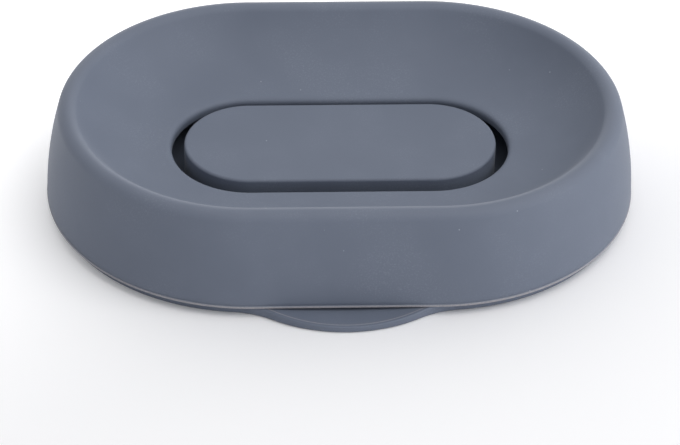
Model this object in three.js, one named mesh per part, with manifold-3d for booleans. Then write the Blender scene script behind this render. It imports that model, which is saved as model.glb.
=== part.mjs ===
// A self-draining silicone soap dish in three nesting pieces: a drain tray with a spout, an upper dish with a
// concave basin, and a soap rest that stands on the tray in the dish's opening.
// Millimetres, +Z up, spout towards -Y. The origin is the middle of the tray's underside.
// Every outline is a stadium: all the points at one distance, its radius, from a core line along X.
import * as THREE from "three";
import { mergeVertices } from "three/addons/utils/BufferGeometryUtils.js";
import Module from "manifold-3d";

const QUARTER_TURN = Math.PI / 2;
const HALF_TURN = Math.PI;
const FULL_TURN = 2 * Math.PI;

// Outline
const CORE_HALF = 19.9; // half of the core line
const TURN_SEGMENTS = 56; // facets round the two ends together
const CURVE_DIVISIONS = 5; // steps on a curve of a section
const OUTLINE_DIVISIONS = 14; // steps on a curve of the tray's outline
const EDGE_STEPS = 2; // facets across the tray's rounded edge

// Upper dish
const SKIRT_RADIUS = 45; // at the bottom edge
const SKIRT_WALL = 3;
const DISH_HEIGHT = 22.05; // bottom edge to the top of the rim
const RIM_SETBACK = 5.5; // highest line of the rim inside the bottom edge
const RIM_ROUND = 2.5;
const RIM_DEPTH = 4; // solid silicone below the rim, along wall and basin
const WALL_LEAN = THREE.MathUtils.degToRad(15.4); // inwards, where the wall meets the rim
const BASIN_WALL = 2.6;
const BASIN_DEPTH = 11.2; // top of the rim to the basin's low edge
const BASIN_STEEP = THREE.MathUtils.degToRad(53); // slope below the rim
const BASIN_FALL = THREE.MathUtils.degToRad(4.4); // slope at the low edge
const OPENING_RADIUS = 17.2;

// Soap rest
const REST_GAP = 2.75; // open slot between soap rest and dish
const REST_STEP = 0.6; // its top above the basin's low edge
const REST_ROUND = 0.65;
const REST_WALL = 3;

// Drain tray
const EDGE_SETBACK = 1.4; // tray's edge inside the skirt's bottom edge
const EDGE_THICKNESS = 2.15; // the dish's skirt stands on it
const EDGE_ROUND = 0.3;
const FLOOR_RECESS = 0.6; // floor inside the ridge below the edge, and depth of the drain at the spout
const DRAIN_HALF_WIDTH = 17.5;
const RIDGE_WALL = 2;
const RIDGE_HEIGHT = 4.1; // above the edge
const RIDGE_CLEARANCE = 0.4;
const BOSS_HEIGHT = 3; // above the floor
const BOSS_CHAMFER = 0.6;
const BOSS_CLEARANCE = 0.3;
const SPOUT_REACH = 6.95; // beyond the tray's straight front edge
const SPOUT_TIP_RADIUS = 30;
const SPOUT_FILLET = 20;

// Levels and radii that follow from them
const seatLevel = EDGE_THICKNESS;
const floorLevel = EDGE_THICKNESS - FLOOR_RECESS;
const rimTop = seatLevel + DISH_HEIGHT;
const rimCentre = new THREE.Vector2(SKIRT_RADIUS - RIM_SETBACK, rimTop - RIM_ROUND);
const basinLow = rimTop - BASIN_DEPTH;
const skirtInnerRadius = SKIRT_RADIUS - SKIRT_WALL;
const restRadius = OPENING_RADIUS - REST_GAP;
const restTop = basinLow + REST_STEP;
const restBore = restRadius - REST_WALL;
const trayRadius = SKIRT_RADIUS - EDGE_SETBACK;
const ridgeFootRadius = skirtInnerRadius - RIDGE_CLEARANCE;
const ridgeTop = seatLevel + RIDGE_HEIGHT;
const rootLevel = floorLevel / 2; // what stands on the floor is rooted this deep in it

const wasm = await Module();
wasm.setup();

// The direction at an angle, anticlockwise from the first axis, in a section's plane or in plan.
function heading(angle) {
  return new THREE.Vector2(Math.cos(angle), Math.sin(angle));
}

// A point reached from a start by steps along directions.
function reach(start, ...steps) {
  const spot = start.clone();
  for (const [direction, distance] of steps) {
    spot.addScaledVector(direction, distance);
  }
  return spot;
}

// Where two lines cross, each given by a point and a direction.
function crossing(firstPoint, firstWay, secondPoint, secondWay) {
  const between = secondPoint.clone().sub(firstPoint);
  const distance = between.cross(secondWay) / firstWay.cross(secondWay);
  return reach(firstPoint, [firstWay, distance]);
}

// A section of radius and height, turned round Z and then drawn apart along the core line.
// The facets that straddle X = 0 become the straight sides, and every facet's middle lies on the true outline.
function stadiumTurn(section) {
  const step = FULL_TURN / TURN_SEGMENTS;
  const turned = new THREE.LatheGeometry(section.getPoints(CURVE_DIVISIONS), TURN_SEGMENTS, step / 2);
  turned.rotateX(QUARTER_TURN);
  const spots = turned.getAttribute("position");
  const widen = 1 / Math.cos(step / 2);
  for (let i = 0; i < spots.count; i += 1) {
    const x = spots.getX(i);
    spots.setX(i, x * widen + Math.sign(x) * CORE_HALF);
    spots.setY(i, spots.getY(i) * widen);
  }
  return turned;
}

// A closed geometry as a solid that can be joined and cut.
function solidOf(geometry) {
  const bare = geometry.clone();
  bare.deleteAttribute("normal");
  bare.deleteAttribute("uv");
  const merged = mergeVertices(bare);
  const vertProperties = new Float32Array(merged.getAttribute("position").array);
  const triVerts = new Uint32Array(merged.index.array);
  return new wasm.Manifold(new wasm.Mesh({ numProp: 3, vertProperties, triVerts }));
}

// A joined or cut solid as a geometry again.
function geometryOf(solid) {
  const { vertProperties, triVerts } = solid.getMesh();
  const geometry = new THREE.BufferGeometry();
  geometry.setAttribute("position", new THREE.BufferAttribute(vertProperties, 3));
  geometry.setIndex(new THREE.BufferAttribute(triVerts, 1));
  geometry.computeVertexNormals();
  return geometry;
}

// Where the outer wall runs into the rim's round.
function wallTopPoint() {
  return reach(rimCentre, [heading(WALL_LEAN), RIM_ROUND]);
}

// The top of the skirt's inner face, below the solid rim.
function skirtInnerTop() {
  const downWall = heading(WALL_LEAN - QUARTER_TURN);
  return reach(wallTopPoint(), [downWall, RIM_DEPTH], [heading(WALL_LEAN), -SKIRT_WALL]);
}

// The skirt's inner radius at a height.
function skirtInnerRadiusAt(level) {
  const top = skirtInnerTop();
  const share = (level - seatLevel) / (top.y - seatLevel);
  return THREE.MathUtils.lerp(skirtInnerRadius, top.x, share);
}

// The dish: bulging wall, round rim, basin falling to an opening with a full round edge, hollow underside.
function makeUpperDish() {
  const wallTop = wallTopPoint();
  const wallHalf = (wallTop.y - seatLevel) / 2;
  const wallControl = new THREE.Vector2(wallTop.x + wallHalf * Math.tan(WALL_LEAN), seatLevel + wallHalf);

  const basinUp = heading(BASIN_STEEP);
  const basinNormalAngle = BASIN_STEEP + QUARTER_TURN;
  const basinNormal = heading(basinNormalAngle);
  const basinTop = reach(rimCentre, [basinNormal, RIM_ROUND]);
  const lipRound = BASIN_WALL / 2;
  const lipNormalAngle = BASIN_FALL + QUARTER_TURN;
  const lipNormal = heading(lipNormalAngle);
  const lipCentre = new THREE.Vector2(OPENING_RADIUS + lipRound, basinLow - lipRound);
  const lipTop = reach(lipCentre, [lipNormal, lipRound]);
  const basinControl = crossing(basinTop, basinUp, lipTop, heading(BASIN_FALL));

  const lipUnder = reach(lipCentre, [lipNormal, -lipRound]);
  const underTop = reach(basinTop, [basinUp, -RIM_DEPTH], [basinNormal, -BASIN_WALL]);
  const underControl = crossing(underTop, basinUp, lipUnder, heading(BASIN_FALL));
  const innerTop = skirtInnerTop();

  const section = new THREE.Shape();
  section.moveTo(SKIRT_RADIUS, seatLevel);
  section.quadraticCurveTo(wallControl.x, wallControl.y, wallTop.x, wallTop.y);
  section.absarc(rimCentre.x, rimCentre.y, RIM_ROUND, WALL_LEAN, basinNormalAngle);
  section.quadraticCurveTo(basinControl.x, basinControl.y, lipTop.x, lipTop.y);
  section.absarc(lipCentre.x, lipCentre.y, lipRound, lipNormalAngle, lipNormalAngle + HALF_TURN);
  section.quadraticCurveTo(underControl.x, underControl.y, underTop.x, underTop.y);
  section.lineTo(innerTop.x, innerTop.y);
  section.lineTo(skirtInnerRadius, seatLevel);
  section.closePath();
  return stadiumTurn(section);
}

// The soap rest: a cap with a flat top and a soft edge, open below.
function makeSoapRest() {
  const roundLevel = restTop - REST_ROUND;
  const roof = restTop - REST_WALL;
  const section = new THREE.Path();
  section.moveTo(0, roof);
  section.lineTo(restBore, roof);
  section.lineTo(restBore, floorLevel);
  section.lineTo(restRadius, floorLevel);
  section.lineTo(restRadius, roundLevel);
  section.absarc(restRadius - REST_ROUND, roundLevel, REST_ROUND, 0, QUARTER_TURN);
  section.lineTo(0, restTop);
  return stadiumTurn(section);
}

// The tray's outline in plan, inside its edge by an inset: a stadium whose front runs out through
// hollow fillets into a round-tipped spout.
function trayOutline(inset) {
  const end = trayRadius - inset;
  const tip = SPOUT_TIP_RADIUS - inset;
  const fillet = SPOUT_FILLET + inset;
  const endCentre = new THREE.Vector2(CORE_HALF, 0);
  const tipCentre = new THREE.Vector2(0, SPOUT_TIP_RADIUS - trayRadius - SPOUT_REACH);

  // The fillet's centre lies a radius outside both circles that it touches.
  const endToTip = tipCentre.clone().sub(endCentre);
  const apart = endToTip.length();
  const fromEnd = end + fillet;
  const fromTip = tip + fillet;
  const cosine = (fromEnd ** 2 + apart ** 2 - fromTip ** 2) / (2 * fromEnd * apart);
  const rightEnd = endToTip.angle() + Math.acos(cosine);
  const filletCentre = reach(endCentre, [heading(rightEnd), fromEnd]);
  const rightTip = filletCentre.clone().sub(tipCentre).angle();
  const leftEnd = HALF_TURN - rightEnd + FULL_TURN;
  const leftTip = HALF_TURN - rightTip + FULL_TURN;

  const outline = new THREE.Shape();
  outline.absarc(CORE_HALF, 0, end, rightEnd - FULL_TURN, QUARTER_TURN);
  outline.absarc(-CORE_HALF, 0, end, QUARTER_TURN, leftEnd);
  outline.absarc(-filletCentre.x, filletCentre.y, fillet, leftEnd - HALF_TURN, leftTip - HALF_TURN, true);
  outline.absarc(tipCentre.x, tipCentre.y, tip, leftTip, rightTip);
  outline.absarc(filletCentre.x, filletCentre.y, fillet, rightTip - HALF_TURN, rightEnd - HALF_TURN, true);
  return outline;
}

// The tray's plate with its spout, rounded along both edges.
function makePlate() {
  const plate = new THREE.ExtrudeGeometry(trayOutline(EDGE_ROUND), {
    depth: EDGE_THICKNESS - 2 * EDGE_ROUND,
    curveSegments: OUTLINE_DIVISIONS,
    bevelSize: EDGE_ROUND,
    bevelThickness: EDGE_ROUND,
    bevelSegments: EDGE_STEPS,
  });
  plate.translate(0, 0, EDGE_ROUND);
  return solidOf(plate);
}

// The ridge that locates the dish's skirt, following its inner face.
function makeRidge() {
  const ridgeTopRadius = skirtInnerRadiusAt(ridgeTop) - RIDGE_CLEARANCE;
  const section = new THREE.Shape();
  section.moveTo(ridgeFootRadius, rootLevel);
  section.lineTo(ridgeFootRadius, seatLevel);
  section.lineTo(ridgeTopRadius, ridgeTop);
  section.lineTo(ridgeTopRadius - RIDGE_WALL, ridgeTop);
  section.lineTo(ridgeFootRadius - RIDGE_WALL, rootLevel);
  section.closePath();
  return solidOf(stadiumTurn(section));
}

// The room above the floor, inside the ridge.
function makeFloorCut() {
  const floorRadius = ridgeFootRadius - RIDGE_WALL;
  const section = new THREE.Path();
  section.moveTo(0, floorLevel);
  section.lineTo(floorRadius, floorLevel);
  section.lineTo(floorRadius, seatLevel);
  section.lineTo(0, seatLevel);
  return solidOf(stadiumTurn(section));
}

// The drain: a shallow round-bottomed channel from the floor to the tip of the spout, through the ridge.
function makeDrainCut() {
  const chord = DRAIN_HALF_WIDTH;
  const radius = (chord ** 2 + FLOOR_RECESS ** 2) / (2 * FLOOR_RECESS);
  const half = Math.asin(chord / radius);
  const down = -QUARTER_TURN;
  const section = new THREE.Shape();
  section.absarc(0, floorLevel + radius, radius, down - half, down + half);
  section.lineTo(chord, 2 * ridgeTop);
  section.lineTo(-chord, 2 * ridgeTop);
  section.closePath();
  const length = SPOUT_REACH + EDGE_SETBACK + SKIRT_WALL + RIDGE_CLEARANCE + RIDGE_WALL;
  const channel = new THREE.ExtrudeGeometry(section, {
    depth: length,
    curveSegments: OUTLINE_DIVISIONS,
    bevelEnabled: false,
  });
  channel.rotateX(QUARTER_TURN);
  channel.translate(0, RIDGE_WALL - ridgeFootRadius, 0);
  return solidOf(channel);
}

// The boss that the soap rest is pushed onto.
function makeBoss() {
  const bossRadius = restBore - BOSS_CLEARANCE;
  const bossTop = floorLevel + BOSS_HEIGHT;
  const section = new THREE.Path();
  section.moveTo(0, rootLevel);
  section.lineTo(bossRadius, rootLevel);
  section.lineTo(bossRadius, bossTop - BOSS_CHAMFER);
  section.lineTo(bossRadius - BOSS_CHAMFER, bossTop);
  section.lineTo(0, bossTop);
  return solidOf(stadiumTurn(section));
}

function makeDrainTray() {
  const hollow = makeFloorCut().add(makeDrainCut());
  return geometryOf(makePlate().add(makeRidge()).subtract(hollow).add(makeBoss()));
}

// Slate-grey silicone with the matt skin of its mould
function silicone() {
  return new THREE.MeshStandardMaterial({ color: 0x747c8b, roughness: 0.62, metalness: 0 });
}

function named(name, geometry) {
  const mesh = new THREE.Mesh(geometry, silicone());
  mesh.name = name;
  return mesh;
}

const soapDish = new THREE.Group();
soapDish.add(named("drain_tray", makeDrainTray()));
soapDish.add(named("upper_dish", makeUpperDish()));
soapDish.add(named("soap_rest", makeSoapRest()));

export default soapDish;
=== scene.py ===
"""Looks of a self-draining silicone soap dish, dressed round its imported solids.

Sizes in the classes are millimetres; Blender gets metres, in the solids' own frame: +X along the dish,
-Y towards the spout, +Z up. Each piece is made of rings round one core line along X: a section stands
all the way round it, and only the tray's outer rings and its ridge change where the spout is.
"""

import logging
import math
from collections.abc import Mapping, Sequence
from dataclasses import dataclass, field
from enum import Enum

import bpy
from mathutils import Matrix, Vector

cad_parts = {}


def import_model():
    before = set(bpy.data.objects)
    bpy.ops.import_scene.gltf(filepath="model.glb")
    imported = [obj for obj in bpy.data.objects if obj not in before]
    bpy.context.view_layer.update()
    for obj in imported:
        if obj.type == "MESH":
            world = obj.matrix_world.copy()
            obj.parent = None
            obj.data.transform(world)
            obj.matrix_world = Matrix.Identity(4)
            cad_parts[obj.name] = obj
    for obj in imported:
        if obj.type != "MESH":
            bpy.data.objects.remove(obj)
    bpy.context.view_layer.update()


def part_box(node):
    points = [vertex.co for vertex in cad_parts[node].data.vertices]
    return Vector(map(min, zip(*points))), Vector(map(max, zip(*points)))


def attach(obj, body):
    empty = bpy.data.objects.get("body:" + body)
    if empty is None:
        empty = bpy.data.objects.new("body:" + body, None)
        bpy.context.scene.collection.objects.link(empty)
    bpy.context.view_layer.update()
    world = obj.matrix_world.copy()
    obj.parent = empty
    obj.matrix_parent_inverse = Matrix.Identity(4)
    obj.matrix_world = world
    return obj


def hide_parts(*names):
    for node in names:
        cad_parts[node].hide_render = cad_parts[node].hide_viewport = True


LOG = logging.getLogger("soap_dish")

MM = 0.001
QUARTER_TURN = math.pi / 2
HALF_TURN = math.pi
IMAGE_WIDTH = 680
SENSOR_WIDTH = 36.0
WHITE = "#FFFFFF"
# Mesh layer of how much paler the skin is painted: worn spots, and painted highlights on the bead and the
# tray's top edge.
WEAR_AND_HIGHLIGHT_LAYER = "wear_and_highlight"

# A radius and a height in a section's plane, or x and y seen from above.
Spot = tuple[float, float]
# A place or a way in the room.
Place = tuple[float, float, float]
Tree = bpy.types.NodeTree
Socket = bpy.types.NodeSocket


class NodeKind(Enum):
    """Shader nodes that the finishes, the table and the sky are drawn with."""

    COORDINATES = "ShaderNodeTexCoord"
    ATTRIBUTE = "ShaderNodeAttribute"
    NOISE = "ShaderNodeTexNoise"
    CELLS = "ShaderNodeTexVoronoi"
    SPLIT = "ShaderNodeSeparateColor"
    MATH = "ShaderNodeMath"
    VECTOR = "ShaderNodeVectorMath"
    RANGE = "ShaderNodeMapRange"
    MIX = "ShaderNodeMix"
    BUMP = "ShaderNodeBump"
    SURFACE = "ShaderNodeBsdfPrincipled"
    RAYS = "ShaderNodeLightPath"
    SKY = "ShaderNodeBackground"
    CHOICE = "ShaderNodeMixShader"
    MATERIAL_OUTPUT = "ShaderNodeOutputMaterial"
    WORLD_OUTPUT = "ShaderNodeOutputWorld"


def linear(code: str) -> tuple[float, float, float, float]:
    """Turns an sRGB hex code into the linear colour that Blender works in.

    Args:
        code: six hex digits after a hash sign.

    Returns:
        Linear red, green, blue and an alpha of one.
    """
    knee, slope, foot, power = 0.04045, 12.92, 0.055, 2.4
    channels = []
    for start in (1, 3, 5):
        share = int(code[start : start + 2], 16) / 255
        channels.append(share / slope if share <= knee else ((share + foot) / (1 + foot)) ** power)
    red, green, blue = channels
    return red, green, blue, 1.0


def empty_tree(owner: bpy.types.Material | bpy.types.World) -> Tree:
    """Gives a material or a world a node tree with nothing in it.

    Args:
        owner: what the nodes belong to.

    Returns:
        The tree.
    """
    owner.use_nodes = True
    owner.node_tree.nodes.clear()
    return owner.node_tree


def add_node(
    tree: Tree, kind: NodeKind, inputs: Mapping[str, object] | None = None, **options: object
) -> bpy.types.Node:
    """Adds a shader node, with its options set and its inputs filled.

    Args:
        tree: the node tree that it joins.
        kind: what it does.
        inputs: what each input gets, by identifier: an output is linked, and anything else is set.
        options: the node's own settings.

    Returns:
        The new node.
    """
    node = tree.nodes.new(kind.value)
    for option, choice in options.items():
        setattr(node, option, choice)
    sockets = {socket.identifier: socket for socket in node.inputs}
    for name, given in (inputs or {}).items():
        if isinstance(given, Socket):
            tree.links.new(given, sockets[name])
        else:
            sockets[name].default_value = given
    return node


def output(node: bpy.types.Node, name: str) -> Socket:
    """The output of a node that has this identifier."""
    return next(socket for socket in node.outputs if socket.identifier == name)


def offset(start: Spot, distance: float, angle: float) -> Spot:
    """The spot of a section's plane at a distance from another, at an angle from straight out."""
    return start[0] + distance * math.cos(angle), start[1] + distance * math.sin(angle)


def crossing(first: Spot, first_slope: float, second: Spot, second_slope: float) -> Spot:
    """Finds where two lines of a section cross.

    Args:
        first: a spot on the first line.
        first_slope: its angle.
        second: a spot on the second line.
        second_slope: its angle.

    Returns:
        The crossing's radius and height.
    """
    one, other = math.tan(first_slope), math.tan(second_slope)
    radius = (second[1] - first[1] + one * first[0] - other * second[0]) / (one - other)
    return radius, first[1] + one * (radius - first[0])


@dataclass(frozen=True)
class Station:
    """One place on the core line, and the way in which a section stands there."""

    core_x: float
    angle: float

    @property
    def front(self) -> bool:
        """Whether the section stands on the spout's side."""
        return math.sin(self.angle) < 0

    def plan(self, radius: float) -> Spot:
        """Where a radius of the section lies, seen from above."""
        return self.core_x + radius * math.cos(self.angle), radius * math.sin(self.angle)

    def at(self, radius: float, height: float) -> Vector:
        """A point of the section in Blender's metres."""
        return Vector((*self.plan(radius), height)) * MM


def stations_round(core_half: float) -> list[Station]:
    """Lists the stations of every ring, anticlockwise from the front of the right end.

    Args:
        core_half: half of the core line.

    Returns:
        Stations round the right end, along the back, round the left end and along the front.
    """
    end_steps, back_steps, front_steps = 80, 16, 72
    sweep = HALF_TURN / end_steps
    length = 2 * core_half
    right = [Station(core_half, sweep * step - QUARTER_TURN) for step in range(end_steps)]
    back = [Station(core_half - length * step / back_steps, QUARTER_TURN) for step in range(back_steps)]
    left = [Station(-core_half, sweep * step + QUARTER_TURN) for step in range(end_steps)]
    front = [Station(length * step / front_steps - core_half, -QUARTER_TURN) for step in range(front_steps)]
    return right + back + left + front


@dataclass(frozen=True)
class SectionPoint:
    """A point of a section, and how much paler its skin is painted, for worn spots and for painted
    highlights.
    """

    radius: float
    height: float
    wear_and_highlight: float


@dataclass
class Section:
    """A section drawn point by point, with the silicone on the left of the way it runs."""

    points: list[SectionPoint] = field(default_factory=list)

    @property
    def latest(self) -> Spot:
        """The last spot drawn so far."""
        return self.points[-1].radius, self.points[-1].height

    def line(self, *spots: Spot, wear_and_highlight: float = 0.0) -> None:
        """Runs straight through spots of radius and height, and leaves out any that repeats the last.

        Args:
            spots: where the section goes.
            wear_and_highlight: how much paler its skin is painted there, for worn spots and for painted
                highlights.
        """
        same = 1e-4
        for spot in spots:
            if not self.points or math.dist(spot, self.latest) > same:
                self.points.append(SectionPoint(*spot, wear_and_highlight))

    def curve(self, control: Spot, end: Spot, steps: int, wear_and_highlight: float = 0.0) -> None:
        """Runs on in a curve that leaves towards a control spot and arrives from it.

        Args:
            control: where the tangents of both ends cross.
            end: last spot of the curve.
            steps: how many points it takes.
            wear_and_highlight: how much paler its skin is painted in the middle, for worn spots and for
                painted highlights; it fades towards both ends.
        """
        start, middle, last = Vector(self.latest), Vector(control), Vector(end)
        for step in range(1, steps + 1):
            share = step / steps
            spot = start.lerp(middle, share).lerp(middle.lerp(last, share), share)
            self.line((spot.x, spot.y), wear_and_highlight=wear_and_highlight * math.sin(HALF_TURN * share))

    def arc(
        self, centre: Spot, radius: float, sweep: tuple[float, float], steps: int, wear_and_highlight: float = 0.0
    ) -> None:
        """Runs round a part of a circle.

        Args:
            centre: middle of the circle.
            radius: its radius.
            sweep: first and last angle, from straight out.
            steps: how many points it takes after the first.
            wear_and_highlight: how much paler its skin is painted in the middle, for worn spots and for
                painted highlights; it fades towards both ends.
        """
        first, last = sweep
        for step in range(steps + 1):
            share = step / steps
            angle = first + (last - first) * share
            self.line(offset(centre, radius, angle), wear_and_highlight=wear_and_highlight * math.sin(HALF_TURN * share))

    def corner(self, spot: Spot, onward: Spot, size: float, wear_and_highlight: float = 0.0) -> None:
        """Runs straight towards a spot and turns there, round a soft corner.

        Args:
            spot: the sharp corner.
            onward: where the section goes next.
            size: how far from the sharp corner the round starts and ends.
            wear_and_highlight: how much paler the skin is painted in the middle of the round, for worn spots
                and for painted highlights.
        """
        corner_steps = 5
        sharp = Vector(spot)
        first = sharp + (Vector(self.latest) - sharp).normalized() * size
        last = sharp + (Vector(onward) - sharp).normalized() * size
        self.line((first.x, first.y))
        self.curve(spot, (last.x, last.y), corner_steps, wear_and_highlight)


@dataclass
class Loft:
    """A mesh made of rings of points, each joined to the ring before it."""

    points: list[Vector] = field(default_factory=list)
    faces: list[tuple[int, ...]] = field(default_factory=list)
    wear_and_highlight: list[float] = field(default_factory=list)
    rings: list[range] = field(default_factory=list)

    def ring(self, points: Sequence[Vector], wear_and_highlight: float) -> None:
        """Adds a ring and joins it to the last one.

        Args:
            points: the ring, anticlockwise from above.
            wear_and_highlight: how much paler the skin is painted along it, for worn spots and for painted
                highlights.
        """
        start = len(self.points)
        self.points.extend(points)
        self.wear_and_highlight.extend([wear_and_highlight] * len(points))
        self.rings.append(range(start, len(self.points)))
        if len(self.rings) > 1:
            self.join(self.rings[-2], self.rings[-1])

    def stand(self, section: Section, stations: Sequence[Station]) -> None:
        """Stands a section all round the core line, one ring for each of its points.

        Args:
            section: what stands there.
            stations: where it stands.
        """
        for point in section.points:
            self.ring([station.at(point.radius, point.height) for station in stations], point.wear_and_highlight)

    def join(self, below: range, above: range) -> None:
        """Puts a band of four-sided faces between two rings.

        Args:
            below: the earlier ring.
            above: the later ring.
        """
        count = len(below)
        for step in range(count):
            onward = (step + 1) % count
            self.faces.append((below[step], below[onward], above[onward], above[step]))

    def close(self) -> None:
        """Joins the last ring to the first."""
        self.join(self.rings[-1], self.rings[0])

    def cap(self) -> None:
        """Fills the first and the last ring with flat faces."""
        self.faces.append(tuple(reversed(self.rings[0])))
        self.faces.append(tuple(self.rings[-1]))

    def build(self, name: str) -> bpy.types.Object:
        """Makes the smooth-shaded object, with how much paler its skin is painted, for worn spots and
        painted highlights, kept as a layer of the mesh.

        Args:
            name: the object's name.

        Returns:
            The object, linked to the scene.
        """
        mesh = bpy.data.meshes.new(name)
        mesh.from_pydata(self.points, [], self.faces)
        mesh.shade_smooth()
        mesh.attributes.new(WEAR_AND_HIGHLIGHT_LAYER, "FLOAT", "POINT").data.foreach_set("value", self.wear_and_highlight)
        piece = bpy.data.objects.new(name, mesh)
        bpy.context.scene.collection.objects.link(piece)
        return piece


@dataclass(frozen=True)
class Pattern:
    """A pattern in the skin: the size of its patches, and how many finer layers it carries."""

    size: float
    detail: float


@dataclass(frozen=True)
class Span:
    """The stretch of a pattern's values, which run from nought to one, in which an effect comes in."""

    low: float
    high: float


@dataclass(frozen=True)
class MouldedSilicone:
    """Slate-grey silicone rubber, pressed in a steel mould that was blasted matt.

    The blasted steel leaves a skin with no mirror image in it, only broad soft highlights and a slight
    pale bloom where it is seen edge on. Pigment and cure vary a little, so the grey drifts in soft clouds.
    Rubbed edges go pale and warmer; the same pale colour is also a painted highlight on the
    dish's bottom bead and the tray's top edge. The rubber holds on to a thin film of dust and
    a few specks of lint.
    """

    name: str
    pale: str = "#697181"
    deep: str = "#656D7D"
    # Pale warm grey for worn edges, which also serves as painted highlight on the dish's bottom bead and the
    # tray's top edge.
    rubbed_and_highlight: str = "#A3A0A4"
    lint: str = "#B4B8C0"
    roughness: float = 0.6
    roughness_spread: float = 0.12
    ior: float = 1.41
    bloom: float = 0.07
    bloom_width: float = 0.32
    clouds: Pattern = Pattern(size=16.0, detail=3.0)
    # The blasted grain is about 0.05 mm, too fine for a picture of this size, so it is drawn at 0.35 mm.
    grain: Pattern = Pattern(size=0.35, detail=2.0)
    grain_depth: float = 0.012
    grain_strength: float = 0.6
    ripple: Pattern = Pattern(size=7.0, detail=1.0)
    ripple_depth: float = 0.02
    ripple_strength: float = 0.5
    drift: Span = Span(0.3, 0.7)
    # Grain range over which the worn edges and the painted highlights break up.
    worn_and_highlight_grain: Span = Span(0.25, 0.65)
    worn_and_highlight_least: float = 0.6
    handling: Span = Span(0.1, 0.4)
    dusty_grain: Span = Span(0.5, 0.75)
    dusty_patch: Span = Span(0.45, 0.65)
    dust_strength: float = 0.12
    lint_spacing: float = 4.0
    lint_size: float = 0.2
    lint_strength: float = 0.55
    # Share of the lint pattern's cells that stay empty.
    lint_free: float = 0.7

    def material(self) -> bpy.types.Material:
        """Makes the finish as a node material.

        Returns:
            The material, under the finish's name.
        """
        material = bpy.data.materials.new(self.name)
        tree = empty_tree(material)
        place = output(add_node(tree, NodeKind.COORDINATES), "Object")
        drawn = []
        for pattern in (self.clouds, self.grain, self.ripple):
            inputs = {"Vector": place, "Scale": 1 / (pattern.size * MM), "Detail": pattern.detail}
            drawn.append(output(add_node(tree, NodeKind.NOISE, inputs), "Fac"))
        clouds, grain, ripple = drawn
        surface = add_node(
            tree,
            NodeKind.SURFACE,
            {
                "Base Color": self.colour(tree, place, clouds, grain),
                "Roughness": self.gloss(tree, clouds, grain),
                "Normal": self.relief(tree, grain, ripple),
                "IOR": self.ior,
                "Sheen Weight": self.bloom,
                "Sheen Roughness": self.bloom_width,
            },
        )
        add_node(tree, NodeKind.MATERIAL_OUTPUT, {"Surface": output(surface, "BSDF")})
        return material

    def colour(self, tree: Tree, place: Socket, clouds: Socket, grain: Socket) -> Socket:
        """Lays the clouded grey, the worn edges with the painted highlights, and the dust over each other.

        Args:
            tree: the material's nodes.
            place: coordinates in metres.
            clouds: where the pigment is thinner.
            grain: the blasted grain, which breaks up the worn edges and the painted highlights.

        Returns:
            The colour of the skin.
        """
        drift = add_node(
            tree,
            NodeKind.RANGE,
            {"Value": clouds, "From Min": self.drift.low, "From Max": self.drift.high},
        )
        grey = add_node(
            tree,
            NodeKind.MIX,
            {
                "Factor_Float": output(drift, "Result"),
                "A_Color": linear(self.deep),
                "B_Color": linear(self.pale),
            },
            data_type="RGBA",
        )
        wear_and_highlight = output(add_node(tree, NodeKind.ATTRIBUTE, attribute_name=WEAR_AND_HIGHLIGHT_LAYER), "Fac")
        patches = add_node(
            tree,
            NodeKind.RANGE,
            {
                "Value": grain,
                "From Min": self.worn_and_highlight_grain.low,
                "From Max": self.worn_and_highlight_grain.high,
                "To Min": self.worn_and_highlight_least,
            },
        )
        # Share of the pale colour: worn spots and painted highlights, broken up by the grain.
        rubbed_and_highlight = add_node(
            tree,
            NodeKind.MATH,
            {"Value": wear_and_highlight, "Value_001": output(patches, "Result")},
            operation="MULTIPLY",
        )
        skin = output(grey, "Result_Color")
        for share, laid in (
            (output(rubbed_and_highlight, "Value"), self.rubbed_and_highlight),
            (self.dust(tree, place, clouds, grain), self.lint),
        ):
            layer = add_node(
                tree,
                NodeKind.MIX,
                {"Factor_Float": share, "A_Color": skin, "B_Color": linear(laid)},
                data_type="RGBA",
            )
            skin = output(layer, "Result_Color")
        return skin

    def dust(self, tree: Tree, place: Socket, clouds: Socket, grain: Socket) -> Socket:
        """Lays a thin, patchy film of dust into the grain, and single specks over it.

        Args:
            tree: the material's nodes.
            place: coordinates in metres.
            clouds: broad patches, of which some are dusty.
            grain: the blasted grain, which holds the dust.

        Returns:
            How much of the lint's colour shows.
        """
        held = add_node(
            tree,
            NodeKind.RANGE,
            {"Value": grain, "From Min": self.dusty_grain.low, "From Max": self.dusty_grain.high},
        )
        patch = add_node(
            tree,
            NodeKind.RANGE,
            {
                "Value": clouds,
                "From Min": self.dusty_patch.low,
                "From Max": self.dusty_patch.high,
                "To Max": self.dust_strength,
            },
        )
        film = add_node(
            tree,
            NodeKind.MATH,
            {"Value": output(held, "Result"), "Value_001": output(patch, "Result")},
            operation="MULTIPLY",
        )
        both = add_node(
            tree,
            NodeKind.MATH,
            {"Value": output(film, "Value"), "Value_001": self.specks(tree, place)},
            operation="MAXIMUM",
        )
        return output(both, "Value")

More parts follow.
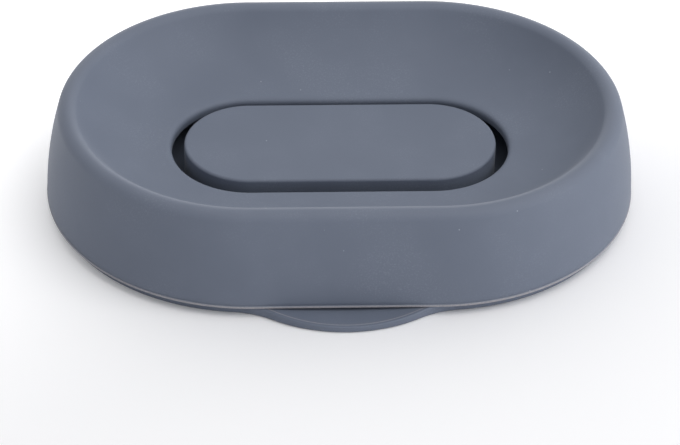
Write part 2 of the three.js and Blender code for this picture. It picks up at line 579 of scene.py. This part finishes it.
    def specks(self, tree: Tree, place: Socket) -> Socket:
        """Scatters a few specks of lint, at most one in each cell of a loose pattern.

        Args:
            tree: the material's nodes.
            place: coordinates in metres.

        Returns:
            How much of the lint's colour shows.
        """
        cells = add_node(tree, NodeKind.CELLS, {"Vector": place, "Scale": 1 / (self.lint_spacing * MM)})
        share = self.lint_size / self.lint_spacing
        dots = add_node(
            tree,
            NodeKind.RANGE,
            {
                "Value": output(cells, "Distance"),
                "From Min": share / 2,
                "From Max": share,
                "To Min": self.lint_strength,
                "To Max": 0.0,
            },
        )
        chance = add_node(tree, NodeKind.SPLIT, {"Color": output(cells, "Color")})
        some = add_node(
            tree,
            NodeKind.MATH,
            {"Value": output(chance, "Red"), "Value_001": self.lint_free},
            operation="GREATER_THAN",
        )
        lint = add_node(
            tree,
            NodeKind.MATH,
            {"Value": output(dots, "Result"), "Value_001": output(some, "Value")},
            operation="MULTIPLY",
        )
        return output(lint, "Value")

    def gloss(self, tree: Tree, clouds: Socket, grain: Socket) -> Socket:
        """Varies the roughness with handling and with the grain.

        Args:
            tree: the material's nodes.
            clouds: broad patches, of which hands have smoothed some.
            grain: the blasted grain.

        Returns:
            The roughness of the skin.
        """
        both = add_node(tree, NodeKind.MATH, {"Value": clouds, "Value_001": grain}, operation="MULTIPLY")
        spread = add_node(
            tree,
            NodeKind.RANGE,
            {
                "Value": output(both, "Value"),
                "From Min": self.handling.low,
                "From Max": self.handling.high,
                "To Min": self.roughness - self.roughness_spread / 2,
                "To Max": self.roughness + self.roughness_spread / 2,
            },
        )
        return output(spread, "Result")

    def relief(self, tree: Tree, grain: Socket, ripple: Socket) -> Socket:
        """Raises the blasted grain over the faint waves that moulded rubber keeps.

        Args:
            tree: the material's nodes.
            grain: the blasted grain.
            ripple: the waves.

        Returns:
            The normals of the skin.
        """
        waves = add_node(
            tree,
            NodeKind.BUMP,
            {"Strength": self.ripple_strength, "Distance": self.ripple_depth * MM, "Height": ripple},
        )
        skin = add_node(
            tree,
            NodeKind.BUMP,
            {
                "Strength": self.grain_strength,
                "Distance": self.grain_depth * MM,
                "Height": grain,
                "Normal": output(waves, "Normal"),
            },
        )
        return output(skin, "Normal")


@dataclass(frozen=True)
class Piece:
    """A moulded piece of the dish: what it stands for and what it is made of."""

    node: str
    body: str
    slot: str
    finish: MouldedSilicone

    def dress(self, loft: Loft, name: str) -> bpy.types.Object:
        """Turns finished rings into the piece that takes its solid's place.

        Args:
            loft: the rings.
            name: the piece's name.

        Returns:
            The dressed object.
        """
        piece = loft.build(name)
        piece.data.materials.append(self.finish.material())
        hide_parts(self.node)
        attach(piece, self.body)
        return piece


@dataclass(frozen=True)
class UpperDish:
    """The dish that takes the soap: bulging wall, round rim, concave basin and an opening in its middle."""

    piece: Piece
    stations: Sequence[Station]
    skirt_radius: float
    seat: float
    top: float
    skirt_wall: float = 3.0
    bead_radius: float = 0.38
    bead_turn: float = math.radians(65)
    # The bead is painted fully pale: partly paler rubber along the moulding's parting bead, partly a painted
    # highlight on its top.
    bead_wear_and_highlight: float = 1.0
    groove_width: float = 0.22
    groove_depth: float = 0.14
    wall_setback: float = 0.12
    wall_lean: float = math.radians(15.4)
    rim_setback: float = 5.5
    rim_round: float = 2.5
    rim_depth: float = 4.0
    rim_wear: float = 0.03
    basin_depth: float = 11.2
    basin_steep: float = math.radians(53)
    basin_fall: float = math.radians(4.4)
    basin_wall: float = 2.6
    opening_radius: float = 17.2
    lip_roll: float = 0.6
    lip_turn: float = math.radians(50)
    soft_corner: float = 0.6

    @property
    def rim_centre(self) -> Spot:
        """Middle of the rim's round."""
        return self.skirt_radius - self.rim_setback, self.top - self.rim_round

    def outside(self, section: Section) -> None:
        """Draws the rolled bottom edge, the groove over it, the bulging wall and the rim.

        Args:
            section: the section, with nothing in it yet.
        """
        bead_centre = (self.skirt_radius - self.bead_radius, self.seat + self.bead_radius)
        bead_sweep = (-QUARTER_TURN, self.bead_turn)
        # Painted pale all along the bead: partly paler rubber, partly a painted highlight.
        section.arc(bead_centre, self.bead_radius, bead_sweep, steps=10, wear_and_highlight=self.bead_wear_and_highlight)
        groove = self.seat + 2 * self.bead_radius
        wall_foot = (self.skirt_radius - self.wall_setback, groove + self.groove_width)
        section.curve((wall_foot[0] - self.groove_depth, groove), wall_foot, steps=6)

        wall_top = offset(self.rim_centre, self.rim_round, self.wall_lean)
        half = (wall_top[1] - self.seat) / 2
        bulge = (wall_top[0] + half * math.tan(self.wall_lean), self.seat + half)
        section.curve(bulge, wall_top, steps=28)
        rim_sweep = (self.wall_lean, self.basin_steep + QUARTER_TURN)
        section.arc(self.rim_centre, self.rim_round, rim_sweep, steps=26, wear_and_highlight=self.rim_wear)

    def inside(self, section: Section) -> None:
        """Draws the basin and the rolled edge and short wall of its opening.

        Args:
            section: the section so far, at the inner end of the rim.
        """
        lip_round = self.basin_wall / 2
        centre = (self.opening_radius + lip_round, self.top - self.basin_depth - lip_round)
        upper = self.basin_fall + QUARTER_TURN
        roll_start = offset(offset(centre, lip_round, upper), self.lip_roll, self.basin_fall)
        roll_end = offset(centre, lip_round, upper + self.lip_turn)
        basin_middle = crossing(section.latest, self.basin_steep, roll_start, self.basin_fall)
        section.curve(basin_middle, roll_start, steps=36)
        roll_middle = crossing(roll_start, self.basin_fall, roll_end, self.basin_fall + self.lip_turn)
        section.curve(roll_middle, roll_end, steps=10)
        section.arc(centre, lip_round, (upper + self.lip_turn, HALF_TURN), steps=10)
        lip_under = offset(centre, lip_round, upper + HALF_TURN)
        section.corner((self.opening_radius, centre[1] - lip_round), lip_under, self.soft_corner)
        section.line(lip_under)

    def underside(self, section: Section) -> None:
        """Draws the hollow below the basin and the skirt's inner face.

        Args:
            section: the section so far, below the opening's edge.
        """
        across = self.basin_steep + QUARTER_TURN
        under_rim = offset(self.rim_centre, self.rim_round - self.basin_wall, across)
        under_top = offset(under_rim, -self.rim_depth, self.basin_steep)
        inner_rim = offset(self.rim_centre, self.rim_round - self.skirt_wall, self.wall_lean)
        inner_top = offset(inner_rim, self.rim_depth, self.wall_lean - QUARTER_TURN)
        under_middle = crossing(under_top, self.basin_steep, section.latest, self.basin_fall)
        section.curve(under_middle, under_top, steps=20)
        foot = (self.skirt_radius - self.skirt_wall, self.seat)
        section.corner(inner_top, foot, self.soft_corner)
        section.corner(foot, (self.skirt_radius, self.seat), self.soft_corner)

    def build(self) -> bpy.types.Object:
        """Builds and dresses the dish.

        Returns:
            The piece.
        """
        section = Section()
        self.outside(section)
        self.inside(section)
        self.underside(section)
        loft = Loft()
        loft.stand(section, self.stations)
        loft.close()
        return self.piece.dress(loft, "concave_dish")


@dataclass(frozen=True)
class SoapRest:
    """The raised island in the dish's opening: a cap with a flat top and a soft edge, open below."""

    piece: Piece
    stations: Sequence[Station]
    radius: float
    bottom: float
    top: float
    wall: float = 3.0
    edge_round: float = 0.65
    edge_wear: float = 0.06
    soft_corner: float = 0.5

    def build(self) -> bpy.types.Object:
        """Builds and dresses the soap rest.

        Returns:
            The piece.
        """
        bore = self.radius - self.wall
        roof = self.top - self.wall
        middle = bore / 2
        shoulder = self.radius - self.edge_round
        edge_centre = (shoulder, self.top - self.edge_round)
        section = Section()
        section.line((middle, roof), (middle + self.wall, roof))
        section.corner((bore, roof), (bore, self.bottom), self.soft_corner)
        section.corner((bore, self.bottom), (self.radius, self.bottom), self.soft_corner)
        section.corner((self.radius, self.bottom), (self.radius, self.top), self.soft_corner)
        section.arc(edge_centre, self.edge_round, (0, QUARTER_TURN), steps=12, wear_and_highlight=self.edge_wear)
        section.line((shoulder - self.edge_round, self.top), (middle, self.top))
        loft = Loft()
        loft.stand(section, self.stations)
        loft.cap()
        return self.piece.dress(loft, "soap_island")


@dataclass(frozen=True)
class SpoutOutline:
    """The tray's outline in plan: a stadium whose front runs out through hollow fillets into a round tip."""

    core_half: float
    end_radius: float
    reach: float
    tip_radius: float = 30.0
    fillet: float = 20.0

    @property
    def end_centre(self) -> Vector:
        """Middle of the right end's round."""
        return Vector((self.core_half, 0))

    @property
    def tip_centre(self) -> Vector:
        """Middle of the round tip."""
        return Vector((0, self.tip_radius - self.end_radius - self.reach))

    @property
    def fillet_centre(self) -> Vector:
        """Finds the middle of the right fillet, a radius outside both the circles that it touches.

        Returns:
            The middle, seen from above.
        """
        to_tip = self.tip_centre - self.end_centre
        from_end = self.end_radius + self.fillet
        from_tip = self.tip_radius + self.fillet
        cosine = (from_end**2 + to_tip.length_squared - from_tip**2) / (2 * from_end * to_tip.length)
        angle = math.atan2(to_tip.y, to_tip.x) + math.acos(cosine)
        return self.end_centre + from_end * Vector((math.cos(angle), math.sin(angle)))

    def radius(self, station: Station, inset: float) -> float:
        """Finds how far the outline lies from the core line.

        Args:
            station: where, and which way, it is measured.
            inset: how far inside the tray's edge.

        Returns:
            The distance along the station's own way.
        """
        plain = self.end_radius - inset
        if not station.front:
            return plain
        fillet_centre = self.fillet_centre
        tip_share = self.tip_radius / (self.tip_radius + self.fillet)
        tip_end = self.tip_centre.lerp(fillet_centre, tip_share).x
        tip = self.hit(station, self.tip_centre, self.tip_radius - inset, far=True)
        if abs(station.plan(tip)[0]) <= tip_end:
            return tip
        end_share = self.end_radius / (self.end_radius + self.fillet)
        fillet_end = self.end_centre.lerp(fillet_centre, end_share).x
        mirror = math.copysign(1, station.plan(plain)[0])
        hollow_centre = Vector((mirror * fillet_centre.x, fillet_centre.y))
        hollow = self.hit(station, hollow_centre, self.fillet + inset, far=False)
        if hollow and abs(station.plan(hollow)[0]) <= fillet_end:
            return hollow
        return plain

    @staticmethod
    def hit(station: Station, centre: Vector, radius: float, far: bool) -> float:
        """Finds where a station's way crosses a circle.

        Args:
            station: the way, from the core line outwards.
            centre: middle of the circle.
            radius: its radius.
            far: whether the further crossing counts.

        Returns:
            The distance from the core line, or nought where the circle is missed.
        """
        way = Vector((math.cos(station.angle), math.sin(station.angle)))
        to_centre = centre - Vector((station.core_x, 0))
        along = to_centre.dot(way)
        half_squared = radius**2 - to_centre.length_squared + along**2
        if half_squared < 0:
            return 0.0
        half = math.sqrt(half_squared)
        return along + half if far else along - half


@dataclass(frozen=True)
class DrainTray:
    """The tray below: an edge that carries the dish, a locating ridge, a boss, and a drain to the spout."""

    piece: Piece
    stations: Sequence[Station]
    outline: SpoutOutline
    skirt_inner: float
    rest_bore: float
    floor: float
    seat: float
    ridge_top: float
    underside_inset: float = 6.0
    bottom_round: float = 0.5
    bottom_margin: float = 0.1
    edge_round: float = 0.3
    # A pale line painted on the flat top just inside the edge: a painted highlight where a larger edge round
    # would catch the light.
    highlight_inset: float = 0.75
    highlight_half: float = 0.2
    painted_highlight: float = 0.75
    drain_half: float = 17.5
    ridge_clearance: float = 0.4
    ridge_lean: float = 0.46
    ridge_wall: float = 2.0
    ridge_draft: float = 0.1
    ridge_round: float = 0.5
    ridge_end: float = 1.6
    ridge_wear: float = 0.15
    floor_share: float = 0.9
    boss_height: float = 3.0
    boss_clearance: float = 0.3
    boss_wear: float = 0.1

    def drain(self, x: float, front: bool) -> float:
        """Finds the level of the edge, which dips into the round-bottomed drain at the spout.

        Args:
            x: where along the dish.
            front: whether it is on the spout's side.

        Returns:
            The level.
        """
        if not front or abs(x) >= self.drain_half:
            return self.seat
        return self.floor + (self.seat - self.floor) * (x / self.drain_half) ** 2

    def ridge_share(self, station: Station) -> float:
        """Finds how much of the ridge stands at a station.

        Args:
            station: where the ridge is crossed.

        Returns:
            Nought in the drain, one past it, and a soft ramp between them.
        """
        if not station.front:
            return 1.0
        past = (abs(station.plan(self.skirt_inner)[0]) - self.drain_half) / self.ridge_end
        share = min(max(past, 0.0), 1.0)
        return share * share * (3 - 2 * share)

    def edge(self, loft: Loft) -> None:
        """Draws the flat underside, the outer edge and the top, with a pale line painted on as a highlight,
        up to the ridge.

        Args:
            loft: the rings, of which there are none yet.
        """
        round_steps, blend_steps = 6, 8
        quarter = [QUARTER_TURN * step / round_steps for step in range(round_steps + 1)]
        for inset in (self.underside_inset, self.bottom_round + self.bottom_margin):
            self.outline_ring(loft, inset, share=0.0, lift=0.0)
        for angle in quarter:
            inset = self.bottom_round * (1 - math.sin(angle))
            self.outline_ring(loft, inset, share=0.0, lift=self.bottom_round * (1 - math.cos(angle)))
        for angle in quarter:
            inset = self.edge_round * (1 - math.cos(angle))
            self.outline_ring(loft, inset, share=1.0, lift=self.edge_round * (math.sin(angle) - 1))
        # The middle one of the next three rings is painted pale: a painted highlight just inside the edge.
        top_inset = self.highlight_inset + self.highlight_half
        for inset, wear_and_highlight in (
            (self.highlight_inset - self.highlight_half, 0.0),
            (self.highlight_inset, self.painted_highlight),
            (top_inset, 0.0),
        ):
            self.outline_ring(loft, inset, share=1.0, lift=0.0, wear_and_highlight=wear_and_highlight)
        ledge = self.skirt_inner - self.ridge_clearance + self.ridge_round / 2
        for step in range(1, blend_steps):
            ring = []
            for station in self.stations:
                outer = self.outline.radius(station, top_inset)
                radius = outer + (ledge - outer) * step / blend_steps
                ring.append(station.at(radius, self.drain(station.plan(radius)[0], station.front)))
            loft.ring(ring, wear_and_highlight=0.0)

    def outline_ring(
        self, loft: Loft, inset: float, share: float, lift: float, wear_and_highlight: float = 0.0
    ) -> None:
        """Adds a ring that follows the tray's outline.

        Args:
            loft: the rings so far.
            inset: how far inside the edge it runs.
            share: nought for the underside's level, one for the level of the top.
            lift: how far above that level it runs.
            wear_and_highlight: how much paler the skin is painted along it, for worn spots and for painted
                highlights.
        """
        ring = []
        for station in self.stations:
            radius = self.outline.radius(station, inset)
            level = share * self.drain(station.plan(radius)[0], station.front)
            ring.append(station.at(radius, level + lift))
        loft.ring(ring, wear_and_highlight)

    def ridge_section(self) -> Section:
        """Draws the ridge from its outer foot to its inner foot.

        Returns:
            The section, which runs inwards.
        """
        foot = self.skirt_inner - self.ridge_clearance
        crest = foot - self.ridge_lean
        inner = crest - self.ridge_wall
        inner_foot = inner - self.ridge_draft
        size, wear_and_highlight = self.ridge_round, self.ridge_wear
        section = Section()
        section.line((foot + size / 2, self.seat))
        section.corner((foot, self.seat), (crest, self.ridge_top), size / 2)
        section.corner((crest, self.ridge_top), (inner, self.ridge_top), size, wear_and_highlight)
        section.corner((inner, self.ridge_top), (inner_foot, self.floor), size, wear_and_highlight)
        section.corner((inner_foot, self.floor), (0, self.floor), size)
        return section

    def boss_section(self) -> Section:
        """Draws the floor inside the ridge, and the boss that the soap rest is pushed over.

        Returns:
            The section, which runs inwards.
        """
        boss = self.rest_bore - self.boss_clearance
        boss_top = self.floor + self.boss_height
        size = self.ridge_round
        section = Section()
        section.line((self.floor_share * self.skirt_inner, self.floor))
        section.line((boss + 2 * self.boss_height, self.floor))
        section.corner((boss, self.floor), (boss, boss_top), size)
        section.corner((boss, boss_top), (0, boss_top), size, self.boss_wear)
        section.line((boss - 2 * size, boss_top), (boss / 2, boss_top))
        return section

    def inside(self, loft: Loft) -> None:
        """Draws the ridge with its gap at the drain, the floor and the boss.

        Args:
            loft: the rings so far, at the ridge's outer foot.
        """
        for point in self.ridge_section().points:
            ring = []
            for station in self.stations:
                x = station.plan(point.radius)[0]
                low = min(point.height, self.drain(x, station.front))
                share = self.ridge_share(station)
                ring.append(station.at(point.radius, low + share * (point.height - low)))
            loft.ring(ring, point.wear_and_highlight)
        loft.stand(self.boss_section(), self.stations)

    def build(self) -> bpy.types.Object:
        """Builds and dresses the tray.

        Returns:
            The piece.
        """
        loft = Loft()
        self.edge(loft)
        self.inside(loft)
        loft.cap()
        return self.piece.dress(loft, "spouted_tray")


@dataclass(frozen=True)
class PhotoCamera:
    """The photo's camera, fitted to the outlines in it: where it stood, what it looked at, and its lens."""

    azimuth: float = math.radians(-2.38)
    elevation: float = math.radians(36.8)
    roll: float = math.radians(0.86)
    distance: float = 667.18
    target: Place = (-0.95, -28.38, 12.43)
    focal_pixels: float = 3126.84
    clip_start: float = 10.0

    def build(self) -> None:
        """Places the camera and makes it the scene's own."""
        flat = math.cos(self.elevation)
        back = Vector(
            (math.sin(self.azimuth) * flat, -math.cos(self.azimuth) * flat, math.sin(self.elevation))
        )
        level = Vector((0, 0, 1)).cross(back).normalized()
        upright = back.cross(level)
        right = math.cos(self.roll) * level + math.sin(self.roll) * upright
        up = back.cross(right)
        lens = bpy.data.cameras.new("photo_camera")
        lens.sensor_fit = "HORIZONTAL"
        lens.sensor_width = SENSOR_WIDTH
        lens.lens = self.focal_pixels * SENSOR_WIDTH / IMAGE_WIDTH
        lens.clip_start = self.clip_start * MM
        camera = bpy.data.objects.new("photo_camera", lens)
        turn = Matrix((right, up, back)).transposed().to_4x4()
        spot = (Vector(self.target) + back * self.distance) * MM
        camera.matrix_world = Matrix.Translation(spot) @ turn
        bpy.context.scene.collection.objects.link(camera)
        bpy.context.scene.camera = camera


def backdrop_rays(tree: Tree) -> Socket:
    """Picks out the rays that meet the plain white backdrop and not the studio's light.

    Args:
        tree: the nodes of the table or of the sky.

    Returns:
        One for rays of the camera, of gloss and of see-through things, and nought for the others.
    """
    rays = add_node(tree, NodeKind.RAYS)
    picked = output(rays, "Is Camera Ray")
    for way in ("Is Glossy Ray", "Is Transmission Ray"):
        joined = add_node(
            tree,
            NodeKind.MATH,
            {"Value": picked, "Value_001": output(rays, way)},
            operation="ADD",
            use_clamp=True,
        )
        picked = output(joined, "Value")
    return picked


@dataclass(frozen=True)
class SprayedBoard:
    """White board under sprayed matt paint.

    The paint scatters light evenly, so the table shows no gloss and no image of the dish, only its soft
    shadow. For the camera it glows a little towards the back left, as the photo's table fades to white.
    """

    name: str = "board_sprayed_matt_white"
    paint: str = "#FAFAFC"
    roughness: float = 0.9
    specular: float = 0.0
    glow: float = 0.4
    glow_start: float = -50.0
    glow_end: float = 80.0
    glow_way: Place = (-0.46, 0.89, 0.0)

    def material(self) -> bpy.types.Material:
        """Makes the finish as a node material.

        Returns:
            The material, under the finish's name.
        """
        material = bpy.data.materials.new(self.name)
        tree = empty_tree(material)
        place = output(add_node(tree, NodeKind.COORDINATES), "Object")
        along = add_node(
            tree,
            NodeKind.VECTOR,
            {"Vector": place, "Vector_001": self.glow_way},
            operation="DOT_PRODUCT",
        )
        glow = add_node(
            tree,
            NodeKind.RANGE,
            {
                "Value": output(along, "Value"),
                "From Min": self.glow_start * MM,
                "From Max": self.glow_end * MM,
                "To Max": self.glow,
            },
            interpolation_type="SMOOTHSTEP",
        )
        seen = add_node(
            tree,
            NodeKind.MATH,
            {"Value": output(glow, "Result"), "Value_001": backdrop_rays(tree)},
            operation="MULTIPLY",
        )
        surface = add_node(
            tree,
            NodeKind.SURFACE,
            {
                "Base Color": linear(self.paint),
                "Roughness": self.roughness,
                "Specular IOR Level": self.specular,
                "Emission Color": linear(WHITE),
                "Emission Strength": output(seen, "Value"),
            },
        )
        add_node(tree, NodeKind.MATERIAL_OUTPUT, {"Surface": output(surface, "BSDF")})
        return material


@dataclass(frozen=True)
class Softbox:
    """A soft white lamp that faces the dish."""

    name: str
    place: Place
    width: float
    height: float
    watts: float

    def build(self) -> None:
        """Hangs the lamp."""
        lamp = bpy.data.lights.new(self.name, "AREA")
        lamp.shape = "RECTANGLE"
        lamp.size = self.width * MM
        lamp.size_y = self.height * MM
        lamp.energy = self.watts
        hung = bpy.data.objects.new(self.name, lamp)
        hung.location = Vector(self.place) * MM
        hung.rotation_euler = hung.location.to_track_quat("Z", "Y").to_euler()
        bpy.context.scene.collection.objects.link(hung)


@dataclass(frozen=True)
class Studio:
    """A white table under a soft sky, with three soft lamps."""

    finish: SprayedBoard = SprayedBoard()
    floor_half: float = 2000.0
    # The table lies a hair below the tray, so that the two flat faces don't fall together.
    floor_drop: float = 0.02
    backdrop_level: float = 1.0
    sky_level: float = 0.63
    sky_slope: Place = (0.26, 0.3, 0.18)
    # The window gives the broad light from the upper right, the low card lightens the walls on that side,
    # and the card at the back draws the pale line along the front rim.
    lamps: tuple[Softbox, ...] = (
        Softbox("window_softbox", (450.0, -250.0, 830.0), width=700.0, height=700.0, watts=2.8),
        Softbox("low_card", (850.0, -400.0, 150.0), width=600.0, height=260.0, watts=1.9),
        Softbox("back_card", (100.0, 1400.0, 100.0), width=700.0, height=140.0, watts=2.4),
    )

    def build_floor(self) -> None:
        """Lays the table."""
        half, level = self.floor_half, -self.floor_drop
        corners = [(-half, -half), (half, -half), (half, half), (-half, half)]
        mesh = bpy.data.meshes.new("table")
        mesh.from_pydata([Vector((*corner, level)) * MM for corner in corners], [], [(0, 1, 2, 3)])
        mesh.materials.append(self.finish.material())
        floor = bpy.data.objects.new("table", mesh)
        bpy.context.scene.collection.objects.link(floor)

    def build_sky(self) -> None:
        """Lights the scene softly from all round, most from the back right, and shows white behind it."""
        world = bpy.data.worlds.new("studio_sky")
        tree = empty_tree(world)
        way = output(add_node(tree, NodeKind.COORDINATES), "Generated")
        slope = add_node(
            tree,
            NodeKind.VECTOR,
            {"Vector": way, "Vector_001": self.sky_slope},
            operation="DOT_PRODUCT",
        )
        level = add_node(
            tree,
            NodeKind.MATH,
            {"Value": output(slope, "Value"), "Value_001": self.sky_level},
            operation="ADD",
        )
        soft = add_node(tree, NodeKind.SKY, {"Color": linear(WHITE), "Strength": output(level, "Value")})
        plain = add_node(tree, NodeKind.SKY, {"Color": linear(WHITE), "Strength": self.backdrop_level})
        shown = add_node(
            tree,
            NodeKind.CHOICE,
            {
                "Fac": backdrop_rays(tree),
                "Shader": output(soft, "Background"),
                "Shader_001": output(plain, "Background"),
            },
        )
        add_node(tree, NodeKind.WORLD_OUTPUT, {"Surface": output(shown, "Shader")})
        bpy.context.scene.world = world

    def build(self) -> None:
        """Builds table, sky and lamps, and keeps colours as they are written."""
        bpy.context.scene.view_settings.view_transform = "Standard"
        self.build_floor()
        self.build_sky()
        for lamp in self.lamps:
            lamp.build()


def millimetres(node: str) -> tuple[Vector, Vector]:
    """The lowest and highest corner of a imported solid, in millimetres."""
    low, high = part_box(node)
    return Vector(low) / MM, Vector(high) / MM


def main() -> None:
    """Builds the camera, the studio and the three pieces, and logs how many faces each piece has."""
    logging.basicConfig(level=logging.INFO, format="%(name)s: %(message)s")
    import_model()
    PhotoCamera().build()
    Studio().build()

    dish_low, dish_high = millimetres("upper_dish")
    rest_low, rest_high = millimetres("soap_rest")
    tray_low, tray_high = millimetres("drain_tray")
    core_half = dish_high.x - dish_high.y
    stations = stations_round(core_half)

    dish = UpperDish(
        Piece("upper_dish", "dish", "dish_silicone", MouldedSilicone("silicone_moulded_matt_dish")),
        stations,
        skirt_radius=dish_high.y,
        seat=dish_low.z,
        top=dish_high.z,
    )
    rest = SoapRest(
        Piece("soap_rest", "rest", "rest_silicone", MouldedSilicone("silicone_moulded_matt_rest")),
        stations,
        radius=rest_high.y,
        bottom=rest_low.z,
        top=rest_high.z,
    )
    tray_radius = tray_high.x - core_half
    tray = DrainTray(
        Piece("drain_tray", "tray", "tray_silicone", MouldedSilicone("silicone_moulded_matt_tray")),
        stations,
        SpoutOutline(core_half, tray_radius, reach=-tray_low.y - tray_radius),
        skirt_inner=dish.skirt_radius - dish.skirt_wall,
        rest_bore=rest.radius - rest.wall,
        floor=rest_low.z,
        seat=dish_low.z,
        ridge_top=tray_high.z,
    )
    for part in (tray, dish, rest):
        piece = part.build()
        LOG.info("%s: %d faces", piece.name, len(piece.data.polygons))


if __name__ == "__main__":
    main()
